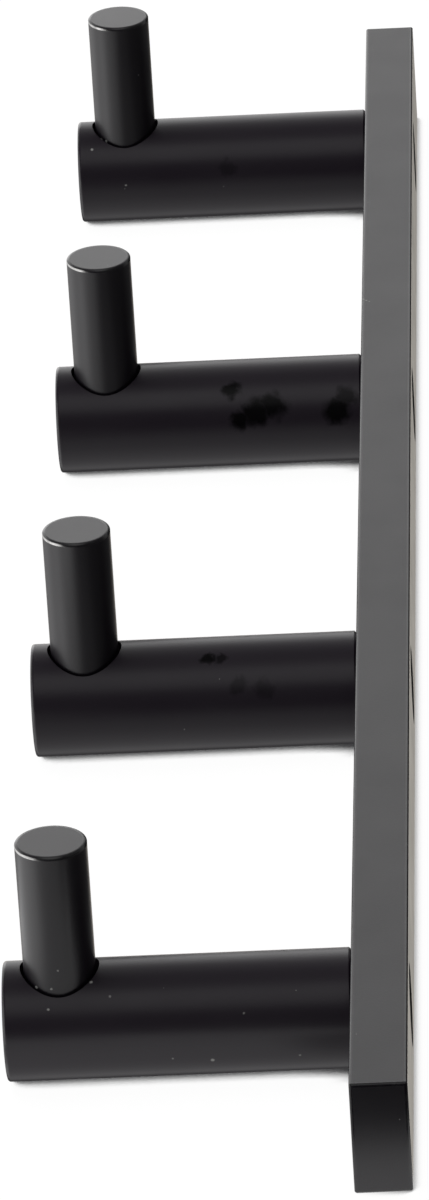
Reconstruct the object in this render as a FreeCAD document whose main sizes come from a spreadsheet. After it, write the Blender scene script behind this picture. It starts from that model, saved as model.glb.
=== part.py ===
import FreeCAD, Part
import os

import Sketcher
from FreeCAD import Placement, Rotation, Vector

# Wall rail with a row of towel hooks.
# A flat bar lies against the wall. Round pegs stand out of its front face in a row, each held by a
# countersunk screw from behind, and near its free end each peg carries an upright pin on a threaded stud.
# Behind every peg the bar has a round recess that takes a wall boss, and a grub screw in the bar's
# underside locks the boss in its recess.
# X runs along the bar, Y points into the wall, Z is up. The origin is the middle of the bar's back face.

# Driving sizes: name, millimetres (or a count), what it is.
SIZES = [
    ("hook_count", 4, "hooks along the bar"),
    ("hook_pitch", 120, "one peg's axis to the next"),
    ("end_overhang", 45, "end peg's axis to the end of the bar"),
    ("bar_height", 20, "bar, top edge to bottom edge"),
    ("bar_thickness", 9.5, "bar, wall face to front face"),
    ("bar_edge_round", 0.4, "rounding of the bar's edges"),
    ("recess_diameter", 14, "wall boss recess in the bar's back"),
    ("web_thickness", 4.5, "bar left in front of the recess"),
    ("peg_diameter", 20, "peg"),
    ("peg_length", 57.5, "peg, bar's front face to free end"),
    ("peg_end_round", 0.5, "rounding of the peg's free end"),
    ("peg_joint_chamfer", 0.35, "edge break where the peg meets the bar"),
    ("pin_diameter", 12, "upright pin"),
    ("pin_rise", 23, "pin's top above the peg's crown"),
    ("pin_inset", 9.5, "pin's axis to the peg's free end"),
    ("pin_end_round", 0.4, "rounding of the pin's top edge"),
    ("pin_foot_chamfer", 0.3, "edge break at the pin's foot"),
    ("socket_depth", 4, "pin's seat below the peg's crown"),
    ("socket_gap", 0.6, "radial gap round the pin's foot"),
    ("stud_diameter", 6, "threaded stud between peg and pin"),
    ("stud_in_peg", 7, "stud's length in the peg"),
    ("stud_in_pin", 8, "stud's length in the pin"),
    ("stud_chamfer", 0.5, "lead at the stud's ends"),
    ("screw_diameter", 6, "peg screw's thread"),
    ("screw_length", 16, "peg screw, head included"),
    ("screw_head_diameter", 12, "peg screw's countersunk head"),
    ("screw_head_land", 0.3, "straight rim of the peg screw's head"),
    ("screw_head_sink", 0.15, "head below the recess's floor"),
    ("screw_key", 4, "hexagon socket in the peg screw, across flats"),
    ("screw_key_depth", 2.2, "depth of that socket"),
    ("screw_tip_chamfer", 0.6, "lead at the peg screw's tip"),
    ("screw_hole_gap", 0.3, "radial gap of the screw in the bar"),
    ("grub_diameter", 4, "grub screw's thread"),
    ("grub_key", 2, "hexagon socket in the grub screw, across flats"),
    ("thread_gap", 0.05, "radial gap between a thread and its hole"),
    ("seat_gap", 0.05, "gap between the screw's head and its seat"),
    ("tap_runout", 1.5, "threaded hole past the end of its screw"),
]

# Sizes that follow from the driving ones.
BAR_LENGTH = "((dims.hook_count - 1) * dims.hook_pitch + 2 * dims.end_overhang)"
FIRST_HOOK = "((1 - dims.hook_count) / 2 * dims.hook_pitch)"
PEG_RADIUS = "(dims.peg_diameter / 2)"
PIN_REACH = "(dims.peg_length - dims.pin_inset)"
PIN_SEAT = "(dims.peg_diameter / 2 - dims.socket_depth)"
RECESS_DEPTH = "(dims.bar_thickness - dims.web_thickness)"
RECESS_WALL = "((dims.bar_height - dims.recess_diameter) / 2)"
HEAD_CONE = "((dims.screw_head_diameter - dims.screw_diameter) / 2)"
HEAD_DEPTH = "(dims.screw_head_sink + dims.screw_head_land)"
SCREW_IN_PEG = "(dims.screw_length + dims.screw_head_sink - dims.web_thickness)"
STUD_HOLE = "(dims.stud_diameter + 2 * dims.thread_gap)"
CORNERS_OVER_FLATS = "2 / sqrt(3)"
LEVEL_TOLERANCE = 1e-4


def make_sheet(doc):
    """The driving sizes, one aliased cell each."""
    sheet = doc.addObject("Spreadsheet::Sheet", "dims")
    for row, (alias, value, meaning) in enumerate(SIZES, start=1):
        sheet.set(f"A{row}", meaning)
        sheet.set(f"B{row}", str(value))
        sheet.setAlias(f"B{row}", alias)
    doc.recompute()
    return sheet


def hook_place(number):
    """X of a hook, counted from 1 at the -X end."""
    return f"({number} - (dims.hook_count + 1) / 2) * dims.hook_pitch"


def bind(item, sizes):
    """Tie properties of an object to the sheet."""
    for path, expression in sizes.items():
        item.setExpression(path, expression)


def place(item, x="0", y="0", z="0", rotation=Rotation()):
    """Put a sub-part in the shared frame."""
    item.Placement = Placement(Vector(), rotation)
    bind(item, {"Placement.Base.x": x, "Placement.Base.y": y, "Placement.Base.z": z})


def new_body(doc, label):
    body = doc.addObject("PartDesign::Body", label)
    body.Label = label
    return body


def new_sketch(body, role, name, x="0", y="0", z="0"):
    """A sketch on one of the body's own origin planes, shifted within and along that plane."""
    sketch = body.newObject("Sketcher::SketchObject", name)
    plane = next(item for item in body.Origin.OriginFeatures if item.Role == role)
    sketch.AttachmentSupport = [(plane, "")]
    sketch.MapMode = "FlatFace"
    for axis, expression in (("x", x), ("y", y), ("z", z)):
        sketch.setExpression(f"AttachmentOffset.Base.{axis}", expression)
    return sketch


def draw_circle(sketch, diameter):
    """A circle round the sketch's origin."""
    circle = sketch.addGeometry(Part.Circle(Vector(), Vector(0, 0, 1), 1), False)
    sketch.addConstraint(Sketcher.Constraint("Coincident", circle, 3, -1, 1))
    size = sketch.addConstraint(Sketcher.Constraint("Diameter", circle, 2))
    sketch.setExpression(f"Constraints[{size}]", diameter)


def draw_rectangle(sketch, width, height):
    """A rectangle centred on the sketch's origin."""
    corners = [Vector(-1, -1), Vector(1, -1), Vector(1, 1), Vector(-1, 1)]
    sides = []
    for start, end in zip(corners, corners[1:] + corners[:1]):
        sides.append(sketch.addGeometry(Part.LineSegment(start, end), False))
    for side, following in zip(sides, sides[1:] + sides[:1]):
        sketch.addConstraint(Sketcher.Constraint("Coincident", side, 2, following, 1))
    for side, kind in zip(sides, ("Horizontal", "Vertical", "Horizontal", "Vertical")):
        sketch.addConstraint(Sketcher.Constraint(kind, side))
    sketch.addConstraint(Sketcher.Constraint("Symmetric", sides[0], 1, sides[1], 2, -1, 1))
    across = sketch.addConstraint(Sketcher.Constraint("DistanceX", sides[0], 1, sides[0], 2, 2))
    upward = sketch.addConstraint(Sketcher.Constraint("DistanceY", sides[1], 1, sides[1], 2, 2))
    sketch.setExpression(f"Constraints[{across}]", width)
    sketch.setExpression(f"Constraints[{upward}]", height)


def pad(body, sketch, name, length):
    feature = body.newObject("PartDesign::Pad", name)
    feature.Profile = sketch
    bind(feature, {"Length": length})
    return feature


def pocket(body, sketch, name, depth, along_normal=False):
    """Cut against the sketch's normal, or along it."""
    feature = body.newObject("PartDesign::Pocket", name)
    feature.Profile = sketch
    feature.Reversed = along_normal
    bind(feature, {"Length": depth})
    return feature


def level_edges(shape, axis, level):
    """Names of the edges that lie wholly at one level along an axis."""
    names = []
    for number, edge in enumerate(shape.Edges, start=1):
        low = getattr(edge.BoundBox, f"{axis}Min")
        high = getattr(edge.BoundBox, f"{axis}Max")
        if abs(low - level) < LEVEL_TOLERANCE and abs(high - level) < LEVEL_TOLERANCE:
            names.append(f"Edge{number}")
    return names


def round_edges(body, base, names, name, radius):
    feature = body.newObject("PartDesign::Fillet", name)
    feature.Base = (base, names)
    bind(feature, {"Radius": radius})
    return feature


def break_edges(body, base, names, name, size):
    feature = body.newObject("PartDesign::Chamfer", name)
    feature.Base = (base, names)
    bind(feature, {"Size": size})
    return feature


def add_primitive(doc, kind, name, sizes):
    """A primitive solid with its sizes tied to the sheet."""
    item = doc.addObject(kind, name)
    bind(item, sizes)
    return item


def make_rail_bar(doc):
    """Flat bar with a recess, a countersunk screw hole and a grub screw hole at every hook."""
    body = new_body(doc, "rail_bar")
    outline = new_sketch(body, "XZ_Plane", "bar_outline")
    draw_rectangle(outline, BAR_LENGTH, "dims.bar_height")
    slab = pad(body, outline, "bar_slab", "dims.bar_thickness")
    doc.recompute()
    every_edge = [f"Edge{number}" for number in range(1, len(slab.Shape.Edges) + 1)]
    round_edges(body, slab, every_edge, "bar_edges", "dims.bar_edge_round")

    recess_outline = new_sketch(body, "XZ_Plane", "recess_outline", x=FIRST_HOOK)
    draw_circle(recess_outline, "dims.recess_diameter")
    recess = pocket(body, recess_outline, "recess", RECESS_DEPTH, along_normal=True)

    screw_centre = new_sketch(body, "XZ_Plane", "screw_centre", x=FIRST_HOOK, z=RECESS_DEPTH)
    draw_circle(screw_centre, "dims.screw_diameter")
    doc.recompute()
    screw_hole = body.newObject("PartDesign::Hole", "screw_hole")
    screw_hole.Profile = screw_centre
    screw_hole.Reversed = True
    screw_hole.Threaded = False
    screw_hole.HoleCutType = "Countersink"
    screw_hole.HoleCutCustomValues = True
    screw_hole.HoleCutCountersinkAngle = 90
    screw_hole.DepthType = "ThroughAll"
    bind(screw_hole, {
        "Diameter": "dims.screw_diameter + 2 * dims.screw_hole_gap",
        "HoleCutDiameter": f"dims.screw_head_diameter + 2 * ({HEAD_DEPTH} + dims.seat_gap)",
    })

    grub_outline = new_sketch(body, "XY_Plane", "grub_outline", x=FIRST_HOOK,
                              y=f"-{RECESS_DEPTH} / 2", z="-dims.bar_height / 2")
    draw_circle(grub_outline, "dims.grub_diameter + 2 * dims.thread_gap")
    grub_hole = pocket(body, grub_outline, "grub_hole", f"{RECESS_WALL} + dims.grub_diameter / 2",
                       along_normal=True)

    row = body.newObject("PartDesign::LinearPattern", "hook_row")
    row.Originals = [recess, screw_hole, grub_hole]
    row.Direction = (outline, ["H_Axis"])
    bind(row, {"Length": "(dims.hook_count - 1) * dims.hook_pitch", "Occurrences": "dims.hook_count"})
    body.Tip = row
    return body


def make_peg(doc, number):
    """Round peg along -Y with a flat seat for its pin and a threaded hole in its rear."""
    body = new_body(doc, f"peg_{number}")
    section = new_sketch(body, "XZ_Plane", "peg_section")
    draw_circle(section, "dims.peg_diameter")
    rod = pad(body, section, "peg_rod", "dims.peg_length")
    doc.recompute()
    free_end = level_edges(rod.Shape, "Y", rod.Shape.BoundBox.YMin)
    rounded = round_edges(body, rod, free_end, "peg_end", "dims.peg_end_round")
    doc.recompute()
    rear_end = level_edges(rounded.Shape, "Y", 0)
    break_edges(body, rounded, rear_end, "peg_joint", "dims.peg_joint_chamfer")

    socket_outline = new_sketch(body, "XY_Plane", "socket_outline", y=f"-{PIN_REACH}", z=PEG_RADIUS)
    draw_circle(socket_outline, "dims.pin_diameter + 2 * dims.socket_gap")
    pocket(body, socket_outline, "pin_socket", "dims.socket_depth")

    stud_outline = new_sketch(body, "XY_Plane", "stud_outline", y=f"-{PIN_REACH}", z=PIN_SEAT)
    draw_circle(stud_outline, STUD_HOLE)
    pocket(body, stud_outline, "stud_hole", "dims.stud_in_peg + dims.tap_runout")

    screw_outline = new_sketch(body, "XZ_Plane", "screw_outline")
    draw_circle(screw_outline, "dims.screw_diameter + 2 * dims.thread_gap")
    pocket(body, screw_outline, "screw_hole", f"{SCREW_IN_PEG} + dims.tap_runout", along_normal=True)
    place(body, x=hook_place(number), y="-dims.bar_thickness")
    return body


def make_pin(doc, number):
    """Upright pin that stands on the flat seat in its peg."""
    body = new_body(doc, f"pin_{number}")
    section = new_sketch(body, "XY_Plane", "pin_section")
    draw_circle(section, "dims.pin_diameter")
    rod = pad(body, section, "pin_rod", "dims.socket_depth + dims.pin_rise")
    doc.recompute()
    top = level_edges(rod.Shape, "Z", rod.Shape.BoundBox.ZMax)
    rounded = round_edges(body, rod, top, "pin_top", "dims.pin_end_round")
    doc.recompute()
    foot = level_edges(rounded.Shape, "Z", 0)
    break_edges(body, rounded, foot, "pin_foot", "dims.pin_foot_chamfer")

    stud_outline = new_sketch(body, "XY_Plane", "pin_stud_outline")
    draw_circle(stud_outline, STUD_HOLE)
    pocket(body, stud_outline, "pin_stud_hole", "dims.stud_in_pin + dims.tap_runout", along_normal=True)
    place(body, x=hook_place(number), y=f"-(dims.bar_thickness + {PIN_REACH})", z=PIN_SEAT)
    return body


def make_pin_stud(doc, number):
    """Threaded stud that holds a pin down on its seat."""
    body = new_body(doc, f"pin_stud_{number}")
    section = new_sketch(body, "XY_Plane", "stud_section")
    draw_circle(section, "dims.stud_diameter")
    rod = pad(body, section, "stud_rod", "dims.stud_in_peg + dims.stud_in_pin")
    doc.recompute()
    ends = level_edges(rod.Shape, "Z", 0) + level_edges(rod.Shape, "Z", rod.Shape.BoundBox.ZMax)
    break_edges(body, rod, ends, "stud_ends", "dims.stud_chamfer")
    place(body, x=hook_place(number), y=f"-(dims.bar_thickness + {PIN_REACH})",
          z=f"{PIN_SEAT} - dims.stud_in_peg")
    return body


def make_peg_screw(doc, number):
    """Countersunk screw from behind, tip in the peg and head in the floor of the recess."""
    label = f"peg_screw_{number}"
    shank_end = f"dims.screw_length - dims.screw_head_land - {HEAD_CONE}"
    tip = add_primitive(doc, "Part::Cone", f"{label}_tip", {
        "Radius1": "dims.screw_diameter / 2 - dims.screw_tip_chamfer",
        "Radius2": "dims.screw_diameter / 2",
        "Height": "dims.screw_tip_chamfer",
    })
    shank = add_primitive(doc, "Part::Cylinder", f"{label}_shank", {
        "Radius": "dims.screw_diameter / 2",
        "Height": f"{shank_end} - dims.screw_tip_chamfer",
        "Placement.Base.z": "dims.screw_tip_chamfer",
    })
    cone = add_primitive(doc, "Part::Cone", f"{label}_cone", {
        "Radius1": "dims.screw_diameter / 2",
        "Radius2": "dims.screw_head_diameter / 2",
        "Height": HEAD_CONE,
        "Placement.Base.z": shank_end,
    })
    rim = add_primitive(doc, "Part::Cylinder", f"{label}_rim", {
        "Radius": "dims.screw_head_diameter / 2",
        "Height": "dims.screw_head_land",
        "Placement.Base.z": "dims.screw_length - dims.screw_head_land",
    })
    blank = doc.addObject("Part::MultiFuse", f"{label}_blank")
    blank.Shapes = [tip, shank, cone, rim]
    key = add_primitive(doc, "Part::Prism", f"{label}_key", {
        "Circumradius": f"dims.screw_key / 2 * {CORNERS_OVER_FLATS}",
        "Height": "dims.screw_key_depth",
        "Placement.Base.z": "dims.screw_length - dims.screw_key_depth",
    })
    screw = doc.addObject("Part::Cut", label)
    screw.Label = label
    screw.Base = blank
    screw.Tool = key
    place(screw, x=hook_place(number), y=f"-({RECESS_DEPTH} + dims.screw_head_sink + dims.screw_length)",
          rotation=Rotation(Vector(1, 0, 0), -90))
    return screw


def make_grub_screw(doc, number):
    """Grub screw in the bar's underside, flush with the bar and with the wall of the recess."""
    label = f"grub_screw_{number}"
    thread = add_primitive(doc, "Part::Cylinder", f"{label}_thread", {
        "Radius": "dims.grub_diameter / 2",
        "Height": RECESS_WALL,
    })
    key = add_primitive(doc, "Part::Prism", f"{label}_key", {
        "Circumradius": f"dims.grub_key / 2 * {CORNERS_OVER_FLATS}",
        "Height": f"{RECESS_WALL} / 2",
    })
    screw = doc.addObject("Part::Cut", label)
    screw.Label = label
    screw.Base = thread
    screw.Tool = key
    place(screw, x=hook_place(number), y=f"-{RECESS_DEPTH} / 2", z="-dims.bar_height / 2")
    return screw


def check_model(doc, sub_parts):
    """Stop unless every object was built and every sub-part is one sound solid."""
    for item in doc.Objects:
        if {"Invalid", "Error"} & set(item.State):
            raise RuntimeError(f"{item.Label} failed: {item.State}")
    for item in sub_parts:
        shape = item.Shape
        if shape.isNull() or not shape.isValid() or len(shape.Solids) != 1:
            raise RuntimeError(f"{item.Label} is not one sound solid")


def main():
    os.makedirs("parts", exist_ok=True)
    doc = FreeCAD.newDocument("towel_hook_rail")
    sheet = make_sheet(doc)
    sub_parts = [make_rail_bar(doc)]
    for number in range(1, int(sheet.hook_count) + 1):
        sub_parts.append(make_peg(doc, number))
        sub_parts.append(make_pin(doc, number))
        sub_parts.append(make_pin_stud(doc, number))
        sub_parts.append(make_peg_screw(doc, number))
        sub_parts.append(make_grub_screw(doc, number))
    doc.recompute()
    check_model(doc, sub_parts)
    for item in sub_parts:
        item.Shape.exportStep(f"parts/{item.Label}.step")
        print(f"{item.Label}: {item.Shape.Volume / 1000:.3f} cm3")


main()
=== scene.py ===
import math

import bpy
from bpy.props import FloatProperty, FloatVectorProperty, PointerProperty
from bpy.types import Operator, Panel, PropertyGroup
from mathutils import Matrix, Vector


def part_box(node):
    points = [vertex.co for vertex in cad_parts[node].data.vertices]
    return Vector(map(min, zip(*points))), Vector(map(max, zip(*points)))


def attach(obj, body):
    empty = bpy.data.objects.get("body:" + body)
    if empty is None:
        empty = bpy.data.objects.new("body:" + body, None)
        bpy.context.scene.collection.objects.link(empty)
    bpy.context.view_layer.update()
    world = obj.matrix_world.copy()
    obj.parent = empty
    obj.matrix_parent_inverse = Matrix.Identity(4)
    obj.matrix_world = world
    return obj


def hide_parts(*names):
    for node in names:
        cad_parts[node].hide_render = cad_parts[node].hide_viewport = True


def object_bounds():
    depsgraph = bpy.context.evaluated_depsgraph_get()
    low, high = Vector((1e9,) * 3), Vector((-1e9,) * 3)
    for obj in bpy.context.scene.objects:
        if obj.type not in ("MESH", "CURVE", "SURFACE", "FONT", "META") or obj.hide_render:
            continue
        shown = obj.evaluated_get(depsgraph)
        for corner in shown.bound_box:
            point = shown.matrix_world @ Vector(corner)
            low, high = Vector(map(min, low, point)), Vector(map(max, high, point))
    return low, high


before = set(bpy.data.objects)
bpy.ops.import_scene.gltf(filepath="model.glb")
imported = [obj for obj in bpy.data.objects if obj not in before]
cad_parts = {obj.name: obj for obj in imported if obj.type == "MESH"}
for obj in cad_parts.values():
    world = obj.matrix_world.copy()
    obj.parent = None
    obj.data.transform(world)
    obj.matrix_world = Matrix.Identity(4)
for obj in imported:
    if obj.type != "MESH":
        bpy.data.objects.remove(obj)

bl_info = {
    "name": "Towel Hook Rail",
    "version": (1, 0, 0),
    "blender": (4, 5, 0),
    "location": "View3D > Sidebar > Towel Hooks",
    "description": "Coats a black wall rail with four towel hooks, models its screws and sets its stage",
    "category": "Object",
}

CAD_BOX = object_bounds()
MM = 0.001
# Too short to show: points closer than this are merged.
TINY = 0.001 * MM
HOOKS = (1, 2, 3, 4)
BAR_LOW, BAR_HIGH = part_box("rail_bar")
PEG_LOW, PEG_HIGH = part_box("peg_1")
PIN_LOW, PIN_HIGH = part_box("pin_1")
HOOK_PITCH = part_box("peg_2")[0].x - PEG_LOW.x
FIRST_HOOK = (PEG_LOW.x + PEG_HIGH.x) / 2
PIN_RADIUS = (PIN_HIGH.x - PIN_LOW.x) / 2
SCREW_LOW, SCREW_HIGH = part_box("peg_screw_1")
STUD_LOW, STUD_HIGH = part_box("pin_stud_1")
GRUB_LOW, GRUB_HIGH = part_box("grub_screw_1")
HEAD_RADIUS = (SCREW_HIGH.x - SCREW_LOW.x) / 2
STUD_RADIUS = (STUD_HIGH.x - STUD_LOW.x) / 2
GRUB_RADIUS = (GRUB_HIGH.x - GRUB_LOW.x) / 2

# How far the polished rims seem to reach round the pegs' ends and the pins' tops.
PEG_RIM = 0.7 * MM
PIN_RIM = 0.7 * MM
# How nearly a face has to look the way of the ideal round skin to be shaded as that skin, as cosines.
SKIN_AGREES = (0.82, 0.88)
# Where a pin's rim carries a painted highlight, a band of bright bare metal on its lit side: the slopes of
# the rim where the band begins and ends, and the side of the pin, as Y from its axis over its radius.
GLINT_BEGINS = (0.05, 0.2)
GLINT_ENDS = (0.65, 0.9)
GLINT_SIDE = (-0.6, -0.15)

# Finger marks on the pegs: place on the surface and reach in millimetres, strength.
FINGER_MARKS = (
    (-53.4, -33.8, 7.5, 2.4, 1.0),
    (-50.8, -29.5, 3.9, 3.6, 1.0),
    (-51.3, -26.2, 5.0, 3.4, 1.0),
    (-50.4, -32.4, 2.6, 2.6, 1.0),
    (-50.7, -14.2, 3.6, 3.4, 1.0),
    (-51.9, -12.4, 5.8, 2.8, 0.8),
    (64.5, -35.6, 8.9, 1.7, 1.0),
    (64.5, -33.2, 8.9, 1.7, 0.8),
    (68.4, -30.6, 5.4, 2.2, 0.45),
    (68.8, -26.0, 4.7, 2.4, 0.4),
    (-170.6, -37.2, 3.3, 2.4, 0.4),
)
# Specks of dust that show: place and reach in millimetres, strength.
PEG_SPECKS = (
    (187.9, -59.3, 6.1, 0.28, 1.0),
    (186.7, -49.1, 7.4, 0.26, 0.6),
    (188.9, -27.2, 4.5, 0.24, 0.6),
    (189.2, -32.8, -3.8, 0.42, 0.9),
    (189.4, -18.4, -3.5, 0.28, 0.7),
    (189.5, -39.3, -3.1, 0.24, 0.6),
    (184.4, -52.2, 9.0, 0.34, 1.0),
    (-173.4, -64.1, 7.5, 0.36, 1.0),
    (-170.0, -57.6, 0.9, 0.26, 0.7),
)
PIN_SPECKS = (
    (184.7, -61.2, 8.6, 0.34, 1.0),
    (185.9, -58.7, 8.8, 0.28, 0.8),
    (186.0, -57.4, 12.2, 0.24, 0.7),
    (-176.3, -62.2, 8.4, 0.40, 1.0),
    (-175.3, -61.2, 8.4, 0.36, 1.0),
)
BAR_SPECKS = (
    (-87.6, -9.1, 10.0, 0.26, 1.0),
    (-87.0, -8.6, 10.0, 0.26, 1.0),
    (-86.4, -8.0, 10.0, 0.22, 1.0),
)
# Share of a speck's and of a finger mark's reach that has its full strength, and the size and the reach
# of the noise that breaks up its outline.
SPECK_CORE = 0.5
SPECK_SMEAR = (0.3 * MM, 0.12 * MM)
MARK_CORE = 0.4
MARK_SMEAR = (2.0 * MM, 1.5 * MM)
# Fine dust: how far apart its grains lie, how large they are as shares of that, and their roughness.
DUST_SPACING = 5 * MM
DUST_GRAIN = (0.012, 0.022)
DUST_ROUGHNESS = 0.8

# The coat's unevenness: sizes of its clouds, of its thin patches along edges, of the scuffs on the bar's
# back and of the flecks that break up the painted rim highlight, and the levels of noise between which they
# show.
CLOUD_SIZE = 14 * MM
PATCH_SIZE = 2.5 * MM
PATCH_SHOWS = (0.35, 0.7)
SCUFF_SIZE = 5 * MM
SCUFF_SHOWS = (0.45, 0.7)
FLECK_SIZE = 1.5 * MM
FLECK_SHOWS = (0.3, 0.55)
# Least cover of the painted rim highlight, between its flecks.
FLECK_LEAST = 0.6
# How far the clouds and the grain change the coat's roughness.
CLOUD_ROUGHNESS = 0.10
GRAIN_ROUGHNESS = 0.08
# Distance from an edge over which the coat goes from thin to full, and from polished to satin.
THIN_EDGE = (0.15 * MM, 0.9 * MM)
POLISHED_EDGE = (0.3 * MM, 0.7 * MM)
# Depth of the scuffed skin on the bar's back.
SCUFF_DEPTH = 0.05 * MM
# How far below a pin's top its lacquer ends, how far down it is full, and its roughness.
LACQUER_ENDS = 0.3 * MM
LACQUER_FULL = 0.05 * MM
LACQUER_ROUGHNESS = 0.28
# How strongly the coat and a finger's grease bend light.
COAT_IOR = 1.5
GREASE_IOR = 1.22

# The steel's unevenness: sizes of its clouds and of its grain, the grain's height, the turned rings' share
# of that height, and how far clouds, grain and the darkening deep in sockets change its roughness.
STEEL_CLOUD = 2.0 * MM
STEEL_GRAIN = 0.15 * MM
STEEL_HEIGHT = 0.006 * MM
RING_SHARE = 0.3
STEEL_CLOUD_ROUGHNESS = 0.2
STEEL_GRAIN_ROUGHNESS = 0.1
DEPTH_ROUGHNESS = 0.2
# The dull clouds' share of the steel's colour, and the levels of noise between which they end.
DULL_SHARE = 0.7
DULL_ENDS = (0.2, 0.8)
# Depth over which the steel gets darker and rougher deep in a socket, how much of its colour that darkening
# covers, and how deep into a stud's thread it reaches.
DARKENING_DEPTH = (0.3 * MM, 2.0 * MM)
DARKENING_COVER = 0.8
THREAD_DARKENING = 0.6 * MM
# Where the darkening in a socket ends: as shares of the thread's radius, and as depth in a peg screw.
PEG_SCREW_KEY = (0.76, 0.82)
GRUB_SCREW_KEY = (0.6, 0.66)
PEG_SCREW_KEY_END = (4 * MM, 5 * MM)


class CoatSettings(PropertyGroup):
    """Satin black coat of the bar, the pegs and the pins."""

    colour: FloatVectorProperty(
        name="Colour", description="Colour of the bar's and the pins' coat", subtype="COLOR", size=3,
        min=0.0, max=1.0, default=(0.0060, 0.0045, 0.0070))
    peg_colour: FloatVectorProperty(
        name="Peg Colour", description="Colour of the pegs' coat", subtype="COLOR", size=3,
        min=0.0, max=1.0, default=(0.0080, 0.0045, 0.0095))
    thin_colour: FloatVectorProperty(
        name="Thin Colour", description="Colour along edges, where the coat is thin", subtype="COLOR",
        size=3, min=0.0, max=1.0, default=(0.016, 0.016, 0.017))
    dust_colour: FloatVectorProperty(
        name="Dust Colour", description="Colour of the dust specks", subtype="COLOR", size=3,
        min=0.0, max=1.0, default=(0.26, 0.26, 0.25))
    roughness: FloatProperty(
        name="Roughness", description="Roughness of the clean coat", subtype="FACTOR",
        min=0.0, max=1.0, default=0.33)
    rim_roughness: FloatProperty(
        name="Rim Roughness", description="Roughness along rims and edges, polished by hands",
        subtype="FACTOR", min=0.0, max=1.0, default=0.16)
    # How strongly the painted highlight shows: bright bare metal on the lit band of each pin's rim.
    rim_glint: FloatProperty(
        name="Rim Wear", description="How far the coat is worn off the outer rims of the pins",
        subtype="FACTOR", min=0.0, max=1.0, default=0.65)
    # Colour of the bare metal that paints the highlight on the pins' rims.
    glint_colour: FloatVectorProperty(
        name="Bare Colour", description="Colour of the metal under the coat", subtype="COLOR", size=3,
        min=0.0, max=1.0, default=(0.62, 0.61, 0.60))
    mark_colour: FloatVectorProperty(
        name="Mark Colour", description="Colour of the coat where a finger has left its mark",
        subtype="COLOR", size=3, min=0.0, max=1.0, default=(0.0012, 0.0010, 0.0014))
    mark_roughness: FloatProperty(
        name="Mark Roughness", description="Roughness where a finger has left its mark",
        subtype="FACTOR", min=0.0, max=1.0, default=0.22)
    lacquer: FloatProperty(
        name="Lacquer", description="Clear lacquer that has gathered on the pins' faced tops",
        subtype="FACTOR", min=0.0, max=1.0, default=0.4)
    grain_size: FloatProperty(
        name="Grain Size", description="Size of the coat's fine grain", subtype="DISTANCE",
        unit="LENGTH", min=0.01 * MM, default=0.3 * MM, precision=5)
    grain_height: FloatProperty(
        name="Grain Height", description="Height of the coat's fine grain", subtype="DISTANCE",
        unit="LENGTH", min=0.0, default=0.012 * MM, precision=6)


class ScrewSettings(PropertyGroup):
    """Threads, sockets and points of the screws and studs."""

    pitch: FloatProperty(
        name="Pitch", description="Thread pitch of the peg screws and pin studs", subtype="DISTANCE",
        unit="LENGTH", min=0.1 * MM, default=1.0 * MM, precision=5)
    lead: FloatProperty(
        name="Lead", description="Chamfer at the ends of a thread", subtype="DISTANCE",
        unit="LENGTH", min=0.0, default=0.5 * MM, precision=5)
    head_land: FloatProperty(
        name="Head Land", description="Straight rim of a peg screw's head", subtype="DISTANCE",
        unit="LENGTH", min=0.0, default=0.3 * MM, precision=5)
    head_edge: FloatProperty(
        name="Head Edge", description="Edge break round a peg screw's head", subtype="DISTANCE",
        unit="LENGTH", min=0.0, default=0.1 * MM, precision=5)
    head_key: FloatProperty(
        name="Head Key", description="Socket of a peg screw, across its flats", subtype="DISTANCE",
        unit="LENGTH", min=0.5 * MM, default=4.0 * MM, precision=5)
    head_key_depth: FloatProperty(
        name="Head Key Depth", description="Depth of a peg screw's socket", subtype="DISTANCE",
        unit="LENGTH", min=0.1 * MM, default=2.2 * MM, precision=5)
    grub_pitch: FloatProperty(
        name="Grub Pitch", description="Thread pitch of the grub screws", subtype="DISTANCE",
        unit="LENGTH", min=0.1 * MM, default=0.7 * MM, precision=5)
    grub_lead: FloatProperty(
        name="Grub Lead", description="Chamfer at the ends of a grub screw", subtype="DISTANCE",
        unit="LENGTH", min=0.0, default=0.3 * MM, precision=5)
    grub_key: FloatProperty(
        name="Grub Key", description="Socket of a grub screw, across its flats", subtype="DISTANCE",
        unit="LENGTH", min=0.5 * MM, default=2.0 * MM, precision=5)
    grub_key_depth: FloatProperty(
        name="Grub Key Depth", description="Depth of a grub screw's socket", subtype="DISTANCE",
        unit="LENGTH", min=0.1 * MM, default=1.5 * MM, precision=5)
    cup: FloatProperty(
        name="Cup", description="Radius of the cup in a grub screw's point", subtype="DISTANCE",
        unit="LENGTH", min=0.1 * MM, default=1.0 * MM, precision=5)
    key_lead: FloatProperty(
        name="Key Lead", description="Chamfer at the mouth of a socket", subtype="DISTANCE",
        unit="LENGTH", min=0.01 * MM, default=0.2 * MM, precision=5)


class SteelSettings(PropertyGroup):
    """Finish of the screws and studs."""

    colour: FloatVectorProperty(
        name="Colour", description="Colour of the plain steel", subtype="COLOR", size=3,
        min=0.0, max=1.0, default=(0.46, 0.46, 0.47))
    oxide_colour: FloatVectorProperty(
        name="Oxide Colour", description="Colour of the blackened grub screws", subtype="COLOR", size=3,
        min=0.0, max=1.0, default=(0.05, 0.05, 0.055))
    # Colour that the steel darkens to by depth alone, deep in a socket or a thread.
    depth_colour: FloatVectorProperty(
        name="Grime Colour", description="Colour of the oil and dust deep in a socket", subtype="COLOR",
        size=3, min=0.0, max=1.0, default=(0.02, 0.018, 0.016))
    roughness: FloatProperty(
        name="Roughness", description="Roughness of the steel", subtype="FACTOR", min=0.0, max=1.0,
        default=0.30)
    ring_width: FloatProperty(
        name="Ring Width", description="Width of the rings that turning has left", subtype="DISTANCE",
        unit="LENGTH", min=0.01 * MM, default=0.22 * MM, precision=6)


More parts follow.
